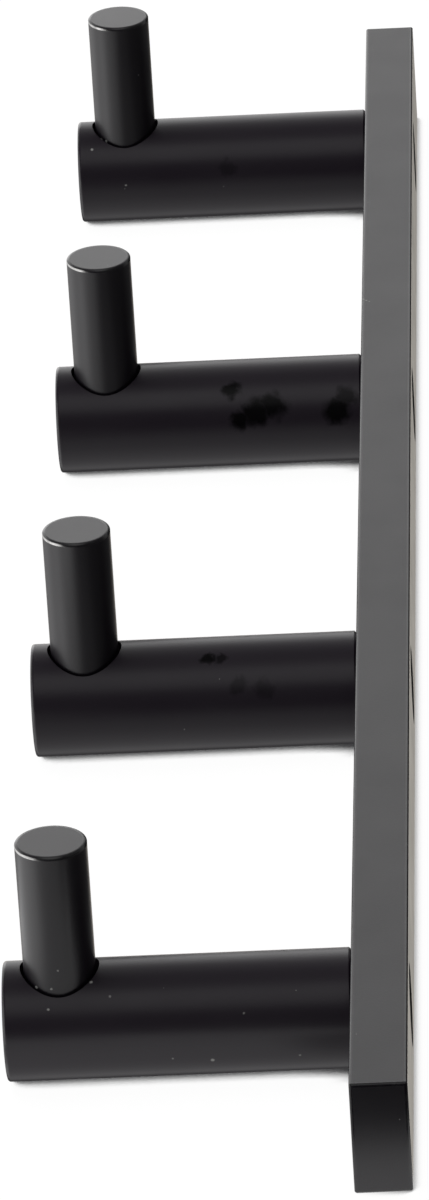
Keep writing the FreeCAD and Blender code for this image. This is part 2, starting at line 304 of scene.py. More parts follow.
class StudioSettings(PropertyGroup):
    """Floor, soft lights and camera."""

    floor_colour: FloatVectorProperty(
        name="Floor Colour", description="Colour of the floor", subtype="COLOR", size=3,
        min=0.0, max=1.0, default=(1.0, 1.0, 1.0))
    # Colour of the painted contact shadow that the floor's glow shows where the rail touches it.
    contact_shadow_colour: FloatVectorProperty(
        name="Contact Colour", description="Colour of the floor where the rail touches it", subtype="COLOR",
        size=3, min=0.0, max=1.0, default=(0.05, 0.05, 0.052))
    shadow: FloatProperty(
        name="Shadow", description="How strongly the floor shows the rail's shadow",
        subtype="FACTOR", min=0.0, max=1.0, default=0.07)
    ambient: FloatProperty(
        name="Ambient", description="Light from all round", min=0.0, default=0.11)
    lens: FloatProperty(
        name="Lens", description="Focal length on a 36 mm frame", unit="CAMERA", min=1.0, default=275.5)


# Soft lights round the rail: name, azimuth (0 is along +X, 90 along +Y), height, inner and outer
# spread in degrees, level, colour.
WHITE = (1.0, 1.0, 1.0)
WARM = (1.0, 0.94, 0.84)
SOFT_LIGHTS = (
    ("far_sweep", 180, 9.5, 6, 32, 1.23, WHITE),
    ("far_left_sweep", 225, 5, 10, 42, 1.0, WHITE),
    ("far_right_sweep", 135, 5, 10, 42, 0.3, WHITE),
    ("far_top", 180, 46, 4, 24, 0.3, WHITE),
    ("far_floor", 178, -30, 8, 26, 1.08, WARM),
    ("left_wall", 270, 5, 12, 50, 0.6, WHITE),
    ("left_window", 286, 10, 14, 34, 1.2, WHITE),
    ("left_floor", 270, -35, 12, 45, 0.78, WHITE),
    ("near_left_floor", 315, -30, 10, 42, 0.88, WHITE),
    ("near_floor", 20, -26, 8, 28, 0.14, WHITE),
    ("camera_softbox", 0, 58, 8, 28, 0.6, WHITE),
    ("ceiling", 0, 90, 8, 38, 0.12, WHITE),
    ("floor_below", 0, -90, 15, 50, 0.46, WHITE),
)
# A black flag beside the far lights, which darkens the bar's back edge: name, azimuth, height, inner
# and outer spread in degrees, share of the light that it keeps off.
BACK_FLAG = ("back_flag", 150, 0, 18, 30, 0.92)

# Cards just under the floor by the near end: name, X and Y from low to high and the soft margin in
# millimetres, level of white.
CARDS = (
    ("bounce_end", 217.0, 246.0, -24.0, 25.0, 8.0, 1.3),
    ("flag_end", 239.0, 500.0, -22.0, 60.0, 3.0, 0.0),
    ("bounce_pin", 122.0, 242.0, -165.0, -82.0, 20.0, 1.7),
    ("bounce_hook", 187.0, 300.0, -125.0, -12.0, 12.0, 0.8),
)
# Depth of a card below the rail, and how much deeper each next card of the table lies, in millimetres.
CARD_DEPTH = 0.1
CARD_STEP = 0.05
# The dark card under each peg, a painted shadow: a dark sheet that the peg's underside reflects in place of
# the shaded floor beneath it. Half its width, how far it goes past the peg's free end and under the bar,
# and its soft margin in millimetres, level of white.
PEG_SHADE = 5.8
PEG_SHADE_FREE_END = 2.0
PEG_SHADE_BAR_END = 4.0
PEG_SHADE_MARGIN = 1.3
PEG_SHADE_LEVEL = 0.1
# The soft lamp overhead, in metres and watts.
LAMP_PLACE = (-0.2, -0.4, 1.6)
LAMP_SIZE = 1.6
LAMP_POWER = 15.0
# The floor: its width and how far it lies below the rail, the strength at which it shows white, and the
# distances from the middle of the rail between which its shadow fades, in metres.
FLOOR_SIZE = 60.0
FLOOR_GAP = 0.02 * MM
FLOOR_STRENGTH = 1.04
SHADOW_FADE = (0.3, 0.9)
# The painted contact shadow, dark lines in the floor's glow where the rail touches the floor: how far the
# floor looks for the rail, the openness between which the line fades, and how dark the painted shadow along
# the seam behind the bar gets.
CONTACT_REACH = 12 * MM
CONTACT_FADE = (0.085, 0.175)
SEAM_REACH = 3 * MM
SEAM_FADE = (0.48, 0.72)
SEAM_SHADOW_DARK = 0.6
CONTACT_SAMPLES = 16
# The camera's frame and the distances between which it sees, in millimetres and metres.
CAMERA_FRAME = 36.0
CAMERA_SEES = (0.05, 100.0)


class Wire:
    """One output in a shader tree. Arithmetic on wires adds Math nodes."""

    def __init__(self, tree, socket):
        self.tree = tree
        self.socket = socket

    @staticmethod
    def node(tree, kind, settings=None, inputs=None, output=0):
        """Add a node, set its settings and then its inputs, and give one of its outputs."""
        node = tree.nodes.new(kind)
        for name, value in (settings or {}).items():
            setattr(node, name, value)
        for key, value in (inputs or {}).items():
            if isinstance(value, Wire):
                tree.links.new(value.socket, node.inputs[key])
            else:
                node.inputs[key].default_value = value
        return Wire(tree, node.outputs[output]) if node.outputs else None

    def math(self, operation, *others):
        """A Math node of this wire and others."""
        inputs = dict(enumerate((self, *others)))
        return Wire.node(self.tree, "ShaderNodeMath", {"operation": operation}, inputs)

    def __add__(self, other):
        return self.math("ADD", other)

    def __radd__(self, other):
        return self.math("ADD", other)

    def __sub__(self, other):
        return self.math("SUBTRACT", other)

    def __rsub__(self, other):
        return Wire.node(self.tree, "ShaderNodeMath", {"operation": "SUBTRACT"}, {0: other, 1: self})

    def __mul__(self, other):
        return self.math("MULTIPLY", other)

    def __truediv__(self, other):
        return self.math("DIVIDE", other)

    def least(self, other):
        return self.math("MINIMUM", other)

    def most(self, other):
        return self.math("MAXIMUM", other)

    def size(self):
        """The value without its sign."""
        return self.math("ABSOLUTE")

    def ease(self, low, high, start=0.0, end=1.0):
        """Smooth step from start at low to end at high."""
        inputs = {"Value": self, "From Min": low, "From Max": high, "To Min": start, "To Max": end}
        return Wire.node(self.tree, "ShaderNodeMapRange", {"interpolation_type": "SMOOTHSTEP"}, inputs)

    def axes(self):
        """X, Y and Z of a vector."""
        first = Wire.node(self.tree, "ShaderNodeSeparateXYZ", None, {"Vector": self})
        return [Wire(self.tree, socket) for socket in first.socket.node.outputs]

    def noise(self, size, detail=2.0):
        """Cloudy noise of a size at this place."""
        inputs = {"Vector": self, "Scale": 1.0 / size, "Detail": detail, "Roughness": 0.55}
        return Wire.node(self.tree, "ShaderNodeTexNoise", None, inputs, "Fac")

    def blend(self, first, second):
        """A colour between two, by this wire's value."""
        # Sockets 6 and 7 take a Mix node's colours, and output 2 gives the mixed one.
        inputs = {0: self, 6: first, 7: second}
        return Wire.node(self.tree, "ShaderNodeMix", {"data_type": "RGBA"}, inputs, 2)


def rgba(colour):
    """A colour with full alpha."""
    return (colour[0], colour[1], colour[2], 1.0)


def clear_tree(owner):
    """The owner's emptied node tree."""
    owner.use_nodes = True
    owner.node_tree.nodes.clear()
    return owner.node_tree


def hook_local(x):
    """X counted from the nearest hook's axis."""
    return (x - FIRST_HOOK).math("WRAP", HOOK_PITCH / 2, -HOOK_PITCH / 2)


def radius_of(first, second):
    """Distance from an axis, by the two coordinates across it."""
    return (first * first + second * second).math("SQRT")


def facing(tree, x, y, z):
    """The way a round skin faces, or the mesh's own normal where the skin is cut away."""
    ideal = Wire.node(tree, "ShaderNodeCombineXYZ", None, {"X": x, "Y": y, "Z": z})
    ideal = Wire.node(tree, "ShaderNodeVectorMath", {"operation": "NORMALIZE"}, {0: ideal})
    flat = Wire.node(tree, "ShaderNodeNewGeometry", output="True Normal")
    smooth = Wire.node(tree, "ShaderNodeNewGeometry", output="Normal")
    agree = Wire.node(tree, "ShaderNodeVectorMath", {"operation": "DOT_PRODUCT"},
                      {0: ideal, 1: flat}, "Value").ease(*SKIN_AGREES)
    # Sockets 4 and 5 take a Mix node's vectors, and output 1 gives the mixed one.
    return Wire.node(tree, "ShaderNodeMix", {"data_type": "VECTOR"},
                     {0: agree, 4: smooth, 5: ideal}, 1)


def bar_skin(tree, place):
    """Distance from the bar's nearest edge across its faces, the way the bar faces, and no painted rim
    highlight.
    """
    x, y, z = place.axes()
    from_end = BAR_HIGH.x - x.size()
    from_side = (BAR_HIGH.y - BAR_LOW.y) / 2 - (y - (BAR_HIGH.y + BAR_LOW.y) / 2).size()
    from_top = BAR_HIGH.z - z.size()
    near, far = from_end.least(from_side), from_end.most(from_side)
    edge = near.most(far.least(from_top))
    return edge, Wire.node(tree, "ShaderNodeNewGeometry", output="Normal"), None


def peg_skin(tree, place):
    """Distance from the rim of the peg's free end, the way the peg faces, and no painted rim highlight."""
    x, y, z = place.axes()
    across = hook_local(x)
    radius = radius_of(across, z)
    past_side = (radius - (PEG_HIGH.z - PEG_RIM)).most(0.0) / radius
    past_end = (PEG_LOW.y + PEG_RIM - y).most(0.0)
    edge = (y - PEG_LOW.y).most(PEG_HIGH.z - radius)
    return edge, facing(tree, across * past_side, past_end * -1.0, z * past_side), None


def pin_skin(tree, place):
    """Distance from the rim of the pin's top, the way the pin faces, and the lit band of its rim that gets
    the painted highlight.
    """
    x, y, z = place.axes()
    across = hook_local(x)
    along = y - (PIN_LOW.y + PIN_HIGH.y) / 2
    radius = radius_of(across, along)
    past_side = (radius - (PIN_RADIUS - PIN_RIM)).most(0.0)
    past_top = (z - (PIN_HIGH.z - PIN_RIM)).most(0.0)
    edge = (PIN_HIGH.z - z).most(PIN_RADIUS - radius)
    slope = past_top / past_side.most(TINY)
    # Only the pin's lit side gets the painted rim highlight.
    outer = (along / radius).ease(*GLINT_SIDE, 1.0, 0.0)
    worn = slope.ease(*GLINT_BEGINS) * slope.ease(*GLINT_ENDS, 1.0, 0.0) * outer
    share = past_side / radius
    return edge, facing(tree, across * share, along * share, past_top), worn


def spots(tree, place, table, core):
    """The strength of the table's spots where they are, fading from their core to their reach."""
    cover = None
    for x, y, z, reach, strength in table:
        away = Wire.node(tree, "ShaderNodeVectorMath", {"operation": "DISTANCE"},
                         {0: place, 1: (x * MM, y * MM, z * MM)}, "Value")
        spot = away.ease(core * reach * MM, reach * MM, strength, 0.0)
        cover = spot if cover is None else cover.most(spot)
    return cover


def smeared(tree, place, size, reach):
    """The place pushed about by a noise, so that spots lose their roundness."""
    noise = Wire.node(tree, "ShaderNodeTexNoise", None,
                      {"Vector": place, "Scale": 1.0 / size, "Detail": 3.0}, "Color")
    push = Wire.node(tree, "ShaderNodeVectorMath", {"operation": "MULTIPLY_ADD"},
                     {0: noise, 1: (2.0 * reach,) * 3, 2: (-reach,) * 3})
    return Wire.node(tree, "ShaderNodeVectorMath", {"operation": "ADD"}, {0: place, 1: push})


def dust(tree, place, specks):
    """Fine dust all over, and the specks that show."""
    grain = Wire.node(tree, "ShaderNodeTexVoronoi", None,
                      {"Vector": place, "Scale": 1.0 / DUST_SPACING}).ease(*DUST_GRAIN, 1.0, 0.0)
    return grain.most(spots(tree, smeared(tree, place, *SPECK_SMEAR), specks, SPECK_CORE))


def coat(material, settings, colour, skin, specks, marks=None, lacquered=None, scuffed=None):
    """Satin black coat: fine grain, clouds in the gloss, thin along the edges, dust and finger marks."""
    tree = clear_tree(material)
    place = Wire.node(tree, "ShaderNodeTexCoord", output="Object")
    edge, normal, worn = skin(tree, place)
    cloud = place.noise(CLOUD_SIZE, 3.0)
    fine = place.noise(settings.grain_size)
    thin = edge.ease(*THIN_EDGE, 1.0, 0.0) * place.noise(PATCH_SIZE).ease(*PATCH_SHOWS)
    if scuffed:
        thin = thin.most(scuffed(place))
    dusty = dust(tree, place, specks)
    rim = edge.ease(*POLISHED_EDGE, 1.0, 0.0)
    rough = settings.roughness + (cloud - 0.5) * CLOUD_ROUGHNESS + (fine - 0.5) * GRAIN_ROUGHNESS
    rough = rough - rim * (settings.roughness - settings.rim_roughness)
    rough = rough.most(dusty * DUST_ROUGHNESS)
    colour = thin.blend(rgba(colour), rgba(settings.thin_colour))
    colour = dusty.blend(colour, rgba(settings.dust_colour))
    bump = Wire.node(tree, "ShaderNodeBump", None, {
        "Strength": 1.0, "Distance": settings.grain_height, "Height": fine, "Normal": normal})
    inputs = {"Base Color": colour, "Roughness": rough, "Normal": bump, "IOR": COAT_IOR}
    if lacquered:
        inputs["Coat Weight"] = lacquered(place) * settings.lacquer
        inputs["Coat Roughness"] = LACQUER_ROUGHNESS
    shader = Wire.node(tree, "ShaderNodeBsdfPrincipled", None, inputs)
    # Painted highlight: bright bare metal on the lit band of a pin's rim, broken up by flecks.
    if worn:
        glint_metal = Wire.node(tree, "ShaderNodeBsdfPrincipled", None, {
            "Base Color": rgba(settings.glint_colour), "Roughness": settings.rim_roughness,
            "Normal": bump, "Metallic": 1.0})
        flecks = place.noise(FLECK_SIZE).ease(*FLECK_SHOWS, FLECK_LEAST, 1.0)
        cover = worn * flecks * settings.rim_glint
        shader = Wire.node(tree, "ShaderNodeMixShader", None, {0: cover, 1: shader, 2: glint_metal})
    if marks:
        greasy = Wire.node(tree, "ShaderNodeBsdfPrincipled", None, {
            "Base Color": rgba(settings.mark_colour), "Roughness": settings.mark_roughness,
            "Normal": bump, "IOR": GREASE_IOR})
        cover = spots(tree, smeared(tree, place, *MARK_SMEAR), marks, MARK_CORE)
        shader = Wire.node(tree, "ShaderNodeMixShader", None, {0: cover, 1: shader, 2: greasy})
    Wire.node(tree, "ShaderNodeOutputMaterial", None, {"Surface": shader})


def bar_back(place):
    """Where the wall has scuffed the bar's back."""
    back = place.axes()[1].ease(BAR_HIGH.y - SCUFF_DEPTH, BAR_HIGH.y)
    return back * place.noise(SCUFF_SIZE, 5.0).ease(*SCUFF_SHOWS)


def pin_top(place):
    """One on the faced top of a pin."""
    return place.axes()[2].ease(PIN_HIGH.z - LACQUER_ENDS, PIN_HIGH.z - LACQUER_FULL)


def steel(name, colour, settings, skin):
    """Turned steel with fine rings, a cloudy polish, and darker, rougher steel where it lies deep."""
    material = bpy.data.materials.new(name)
    tree = clear_tree(material)
    place = Wire.node(tree, "ShaderNodeTexCoord", output="Object")
    radius, depth = skin(place)
    cloud = place.noise(STEEL_CLOUD, 3.0)
    fine = place.noise(STEEL_GRAIN)
    rings = (radius * (2 * math.pi / settings.ring_width)).math("SINE")
    darkening = depth.ease(*DARKENING_DEPTH, 0.0, DARKENING_COVER)
    rough = settings.roughness + (cloud - 0.5) * STEEL_CLOUD_ROUGHNESS
    rough = rough + (fine - 0.5) * STEEL_GRAIN_ROUGHNESS + darkening * DEPTH_ROUGHNESS
    dull = [channel * DULL_SHARE for channel in colour]
    shade = cloud.ease(*DULL_ENDS).blend(rgba(dull), rgba(colour))
    bump = Wire.node(tree, "ShaderNodeBump", None, {
        "Strength": 1.0, "Distance": STEEL_HEIGHT, "Height": fine + rings * RING_SHARE})
    shader = Wire.node(tree, "ShaderNodeBsdfPrincipled", None, {
        "Base Color": darkening.blend(shade, rgba(settings.depth_colour)), "Roughness": rough,
        "Normal": bump, "Metallic": 1.0})
    Wire.node(tree, "ShaderNodeOutputMaterial", None, {"Surface": shader})
    return material


def peg_screw_skin(place):
    """Distance from a peg screw's axis, and depth in its socket."""
    x, y, z = place.axes()
    radius = radius_of(hook_local(x), z)
    depth = SCREW_HIGH.y - y
    in_key = radius.ease(*(share * STUD_RADIUS for share in PEG_SCREW_KEY), 1.0, 0.0)
    return radius, depth * in_key * depth.ease(*PEG_SCREW_KEY_END, 1.0, 0.0)


def pin_stud_skin(place):
    """Distance from a pin stud's axis, and depth in its thread."""
    x, y, _ = place.axes()
    radius = radius_of(hook_local(x), y - (STUD_LOW.y + STUD_HIGH.y) / 2)
    return radius, (STUD_RADIUS - radius).least(THREAD_DARKENING)


def grub_screw_skin(place):
    """Distance from a grub screw's axis, and depth in its socket."""
    x, y, z = place.axes()
    radius = radius_of(hook_local(x), y - (GRUB_LOW.y + GRUB_HIGH.y) / 2)
    in_key = radius.ease(*(share * GRUB_RADIUS for share in GRUB_SCREW_KEY), 1.0, 0.0)
    return radius, (z - GRUB_LOW.z) * in_key


# A metric thread's outline as shares of its pitch.
THREAD_ROOT = 1 / 4
THREAD_FLANK = 5 / 16
THREAD_CREST = 1 / 8
THREAD_DEPTH = THREAD_FLANK * math.sqrt(3)
# Turns that a thread starts below its low end, and turns that it has over its length. Its ends are cut off.
THREAD_RUN_IN = 2
THREAD_SPARE = 3
# Facets round a turned body, and the angle between faces below which they look smooth.
ROUND_STEPS = 64
SMOOTH_ANGLE = math.radians(30)


def mend_faces():
    """In edit mode, merge doubled points and turn all faces outward."""
    bpy.ops.mesh.select_all(action="SELECT")
    bpy.ops.mesh.remove_doubles(threshold=TINY)
    bpy.ops.mesh.normals_make_consistent(inside=False)


def turned(name, outline, sides=ROUND_STEPS):
    """A closed body turned about the Z axis, by the radius and height of each step of its outline."""
    (radius, height), *steps = outline
    bpy.ops.object.select_all(action="DESELECT")
    bpy.ops.mesh.primitive_circle_add(
        vertices=sides, radius=radius, fill_type="NGON", location=(0, 0, height))
    body = bpy.context.object
    body.name = name
    bpy.ops.object.transform_apply(location=True, rotation=False, scale=False)
    bpy.ops.object.mode_set(mode="EDIT")
    for next_radius, next_height in steps:
        bpy.ops.mesh.extrude_region_move(
            TRANSFORM_OT_translate={"value": (0, 0, next_height - height)})
        grow = next_radius / radius
        bpy.ops.transform.resize(value=(grow, grow, 1.0))
        radius, height = next_radius, next_height
    mend_faces()
    bpy.ops.object.mode_set(mode="OBJECT")
    return body


def threaded_rod(name, radius, pitch, low, high):
    """A closed rod on the Z axis with a thread from its low end to its high end."""
    depth = THREAD_DEPTH * pitch
    outline = ((0, THREAD_ROOT), (depth, THREAD_FLANK), (0, THREAD_CREST), (-depth, THREAD_FLANK))
    start = (radius - depth, 0, low - THREAD_RUN_IN * pitch)
    bpy.ops.object.select_all(action="DESELECT")
    bpy.ops.mesh.primitive_plane_add(size=pitch, location=start)
    rod = bpy.context.object
    rod.name = name
    bpy.ops.object.transform_apply(location=True, rotation=False, scale=False)
    bpy.ops.object.mode_set(mode="EDIT")
    bpy.ops.mesh.merge(type="CENTER")
    for out, rise in outline:
        bpy.ops.mesh.extrude_vertices_move(TRANSFORM_OT_translate={"value": (out, 0, rise * pitch)})
    bpy.ops.object.mode_set(mode="OBJECT")
    bpy.ops.object.modifier_add(type="SCREW")
    sweep = rod.modifiers[-1]
    sweep.screw_offset = pitch
    sweep.iterations = math.ceil((high - low) / pitch) + THREAD_SPARE
    sweep.steps = sweep.render_steps = ROUND_STEPS
    bpy.ops.object.modifier_apply(modifier=sweep.name)
    bpy.ops.object.mode_set(mode="EDIT")
    mend_faces()
    for height, way in ((low, -1), (high, 1)):
        bpy.ops.mesh.select_all(action="SELECT")
        bpy.ops.mesh.bisect(plane_co=(0, 0, height), plane_no=(0, 0, way), use_fill=True,
                            clear_outer=True, threshold=TINY)
    mend_faces()
    bpy.ops.object.mode_set(mode="OBJECT")
    return rod


def combine(piece, operation, tool):
    """Join a piece with a tool, cut the tool out of it or keep what both share. The tool goes."""
    bpy.ops.object.select_all(action="DESELECT")
    piece.select_set(True)
    bpy.context.view_layer.objects.active = piece
    bpy.ops.object.modifier_add(type="BOOLEAN")
    step = piece.modifiers[-1]
    step.operation = operation
    step.solver = "EXACT"
    step.object = tool
    bpy.ops.object.modifier_apply(modifier=step.name)
    if not piece.data.polygons:
        raise RuntimeError(f"Nothing is left of {piece.name} after {tool.name}")
    bpy.data.objects.remove(tool)


def cut_socket(piece, flats, depth, lead, face, way):
    """Cut a hexagon socket with a chamfered mouth into an end face that looks up (way 1) or down (-1).

    A drill has left a cone at the socket's bottom.
    """
    key = flats / 2 / math.cos(math.pi / 6)
    out = 2 * lead
    bottom = face - way * depth
    cone = (key / 8, face - way * (depth + key / 2))
    combine(piece, "DIFFERENCE", turned("key", ((key, face + way * out), (key, bottom), cone), sides=6))
    combine(piece, "DIFFERENCE", turned("key_mouth", (
        (key + lead + out, face + way * out), (key + lead - out, face - way * out))))


def peg_screw(settings):
    """Countersunk screw on the Z axis, tip at the origin."""
    length = SCREW_HIGH.y - SCREW_LOW.y
    pitch, lead, edge = settings.pitch, settings.lead, settings.head_edge
    rim = length - settings.head_land
    neck = rim - (HEAD_RADIUS - STUD_RADIUS)
    screw = threaded_rod("threaded_peg_screw", STUD_RADIUS, pitch, -pitch, neck + pitch)
    combine(screw, "INTERSECT", turned("tip", (
        (STUD_RADIUS - lead, 0), (STUD_RADIUS + lead, 2 * lead), (STUD_RADIUS + lead, neck + pitch / 2))))
    combine(screw, "UNION", turned("head", (
        (STUD_RADIUS - pitch, neck - pitch), (STUD_RADIUS, neck), (HEAD_RADIUS, rim),
        (HEAD_RADIUS, length - edge), (HEAD_RADIUS - edge, length))))
    cut_socket(screw, settings.head_key, settings.head_key_depth, settings.key_lead, length, 1)
    return screw


def pin_stud(settings):
    """Threaded stud on the Z axis, lower end at the origin."""
    length = STUD_HIGH.z - STUD_LOW.z
    pitch, lead = settings.pitch, settings.lead
    stud = threaded_rod("threaded_pin_stud", STUD_RADIUS, pitch, -pitch, length + pitch)
    combine(stud, "INTERSECT", turned("ends", (
        (STUD_RADIUS - lead, 0), (STUD_RADIUS + lead, 2 * lead),
        (STUD_RADIUS + lead, length - 2 * lead), (STUD_RADIUS - lead, length))))
    return stud


def grub_screw(settings):
    """Grub screw on the Z axis: socket in its lower end at the origin, cup in its upper end."""
    length = GRUB_HIGH.z - GRUB_LOW.z
    pitch, lead, cup = settings.grub_pitch, settings.grub_lead, settings.cup
    screw = threaded_rod("threaded_grub_screw", GRUB_RADIUS, pitch, -pitch, length + pitch)
    combine(screw, "INTERSECT", turned("ends", (
        (GRUB_RADIUS - lead, 0), (GRUB_RADIUS + lead, 2 * lead),
        (GRUB_RADIUS + lead, length - 2 * lead), (GRUB_RADIUS - lead, length))))
    # The cup is a cone twice as wide as it is high, flat near its tip.
    combine(screw, "DIFFERENCE", turned("cup", (
        (2 * cup, length + cup / 2), (cup / 5, length - 0.4 * cup))))
    cut_socket(screw, settings.grub_key, settings.grub_key_depth, settings.key_lead, 0, -1)
    return screw


def fit_to_hooks(first, place, turn, kind, material):
    """Put a screw or stud in its place at the first hook, and a copy of it at every other hook."""
    first.location = place
    first.rotation_euler = turn
    bpy.ops.object.select_all(action="DESELECT")
    first.select_set(True)
    bpy.context.view_layer.objects.active = first
    bpy.ops.object.transform_apply(location=True, rotation=True, scale=True)
    bpy.ops.object.mode_set(mode="EDIT")
    mend_faces()
    bpy.ops.object.mode_set(mode="OBJECT")
    bpy.ops.object.shade_smooth_by_angle(angle=SMOOTH_ANGLE)
    first.data.materials.clear()
    first.data.materials.append(material)
    copies = [first]
    for _ in HOOKS[1:]:
        bpy.ops.object.duplicate(linked=False)
        bpy.ops.transform.translate(value=(HOOK_PITCH, 0, 0))
        bpy.ops.object.transform_apply(location=True, rotation=False, scale=False)
        copies.append(bpy.context.object)
    for hook, copy in zip(HOOKS, copies):
        copy.name = f"threaded_{kind}_{hook}"
        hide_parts(f"{kind}_{hook}")
        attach(copy, "root")


def finish_of(node_name):
    """The material in a CAD node's slot."""
    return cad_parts[node_name].material_slots[0].material


class TOWELHOOK_OT_coat_bar(Operator):
    """Give the rail bar its satin black coat"""

    bl_idname = "towel_hook.coat_bar"
    bl_label = "Coat the Bar"

    def execute(self, context):
        settings = context.scene.towel_hook_coat
        coat(finish_of("rail_bar"), settings, settings.colour, bar_skin, BAR_SPECKS, scuffed=bar_back)
        return {"FINISHED"}


class TOWELHOOK_OT_coat_pegs(Operator):
    """Give the pegs their satin black coat with finger marks"""

    bl_idname = "towel_hook.coat_pegs"
    bl_label = "Coat the Pegs"

    def execute(self, context):
        settings = context.scene.towel_hook_coat
        coat(finish_of("peg_1"), settings, settings.peg_colour, peg_skin, PEG_SPECKS, FINGER_MARKS)
        return {"FINISHED"}


class TOWELHOOK_OT_coat_pins(Operator):
    """Give the pins their satin black coat"""

    bl_idname = "towel_hook.coat_pins"
    bl_label = "Coat the Pins"

    def execute(self, context):
        settings = context.scene.towel_hook_coat
        coat(finish_of("pin_1"), settings, settings.colour, pin_skin, PIN_SPECKS, lacquered=pin_top)
        return {"FINISHED"}


class TOWELHOOK_OT_model_peg_screws(Operator):
    """Model the countersunk screws that hold the pegs"""

    bl_idname = "towel_hook.model_peg_screws"
    bl_label = "Model the Peg Screws"

    def execute(self, context):
        finish = context.scene.towel_hook_steel
        material = steel("peg_screw_steel", finish.colour, finish, peg_screw_skin)
        fit_to_hooks(peg_screw(context.scene.towel_hook_screws), (FIRST_HOOK, SCREW_LOW.y, 0),
                     (-math.pi / 2, 0, 0), "peg_screw", material)
        return {"FINISHED"}


class TOWELHOOK_OT_model_pin_studs(Operator):
    """Model the threaded studs that hold the pins"""

    bl_idname = "towel_hook.model_pin_studs"
    bl_label = "Model the Pin Studs"

    def execute(self, context):
        finish = context.scene.towel_hook_steel
        material = steel("pin_stud_steel", finish.colour, finish, pin_stud_skin)
        fit_to_hooks(pin_stud(context.scene.towel_hook_screws),
                     (FIRST_HOOK, (STUD_LOW.y + STUD_HIGH.y) / 2, STUD_LOW.z),
                     (0, 0, 0), "pin_stud", material)
        return {"FINISHED"}


class TOWELHOOK_OT_model_grub_screws(Operator):
    """Model the grub screws in the bar's underside"""

    bl_idname = "towel_hook.model_grub_screws"
    bl_label = "Model the Grub Screws"

    def execute(self, context):
        finish = context.scene.towel_hook_steel
        material = steel("grub_screw_oxide", finish.oxide_colour, finish, grub_screw_skin)
        fit_to_hooks(grub_screw(context.scene.towel_hook_screws),
                     (FIRST_HOOK, (GRUB_LOW.y + GRUB_HIGH.y) / 2, GRUB_LOW.z),
                     (0, 0, 0), "grub_screw", material)
        return {"FINISHED"}


def light_direction(azimuth, height):
    """Unit vector toward an azimuth and a height in degrees."""
    azimuth = math.radians(azimuth)
    height = math.radians(height)
    return Vector((math.cos(azimuth) * math.cos(height), math.sin(azimuth) * math.cos(height),
                   math.sin(height)))


def spread(direction, name, azimuth, height, inner, outer, level):
    """The level of a soft light or a flag, by the direction it is seen in."""
    toward = Wire.node(
        direction.tree, "ShaderNodeVectorMath", {"operation": "DOT_PRODUCT", "label": name},
        {0: direction, 1: light_direction(azimuth, height)}, "Value")
    return toward.ease(math.cos(math.radians(outer)), math.cos(math.radians(inner)), 0.0, level)


def light_world(settings):
    """White for the camera, and soft lights round the rail for everything else."""
    world = bpy.data.worlds.new("studio")
    tree = clear_tree(world)
    direction = Wire.node(tree, "ShaderNodeTexCoord", output="Generated")
    light = (settings.ambient,) * 3
    for *place, tint in SOFT_LIGHTS:
        light = Wire.node(tree, "ShaderNodeVectorMath", {"operation": "MULTIPLY_ADD"},
                          {0: spread(direction, *place), 1: tint, 2: light})
    light = Wire.node(tree, "ShaderNodeVectorMath", {"operation": "SCALE"},
                      {0: light, "Scale": 1.0 - spread(direction, *BACK_FLAG)})
    camera_ray = Wire.node(tree, "ShaderNodeLightPath", output="Is Camera Ray")
    background = Wire.node(tree, "ShaderNodeBackground", None, {
        "Color": camera_ray.blend(light, rgba(WHITE))})
    Wire.node(tree, "ShaderNodeOutputWorld", None, {"Surface": background})
    return world


def add_card(name, low_x, high_x, low_y, high_y, margin, level, below=CARD_DEPTH):
    """A card under the floor, hidden from the camera: white at its level, or a black flag."""
    middle = ((low_x + high_x) / 2 * MM, (low_y + high_y) / 2 * MM, CAD_BOX[0].z - below * MM)
    half_x, half_y = (high_x - low_x) / 2 * MM, (high_y - low_y) / 2 * MM
    bpy.ops.mesh.primitive_plane_add(size=2.0, location=middle)
    card = bpy.context.object
    card.name = name
    card.scale = (half_x, half_y, 1.0)
    bpy.ops.object.transform_apply(location=False, rotation=False, scale=True)
    material = bpy.data.materials.new(name)
    tree = clear_tree(material)
    x, y, _ = Wire.node(tree, "ShaderNodeTexCoord", output="Object").axes()
    inside = (half_x - x.size()).least(half_y - y.size()).ease(0.0, margin * MM)
    glow = Wire.node(tree, "ShaderNodeEmission", None, {"Strength": level})
    clear = Wire.node(tree, "ShaderNodeBsdfTransparent")
    shader = Wire.node(tree, "ShaderNodeMixShader", None, {0: inside, 1: clear, 2: glow})
    Wire.node(tree, "ShaderNodeOutputMaterial", None, {"Surface": shader})
    card.data.materials.append(material)
    card.visible_camera = False


def add_lamp(name, location, aim, size, power):
    """Soft lamp that lights without showing in the coat."""
    turn = (Vector(aim) - Vector(location)).to_track_quat("-Z", "Y").to_euler()
    bpy.ops.object.light_add(type="AREA", location=location, rotation=turn)
    lamp = bpy.context.object
    lamp.name = name
    lamp.data.size = size
    lamp.data.energy = power
    lamp.visible_glossy = False


def openness(tree, reach):
    """How open the floor is to the air within a reach: one in the open, less beside the rail."""
    return Wire.node(tree, "ShaderNodeAmbientOcclusion", {"samples": CONTACT_SAMPLES},
                     {"Distance": reach}, "AO")


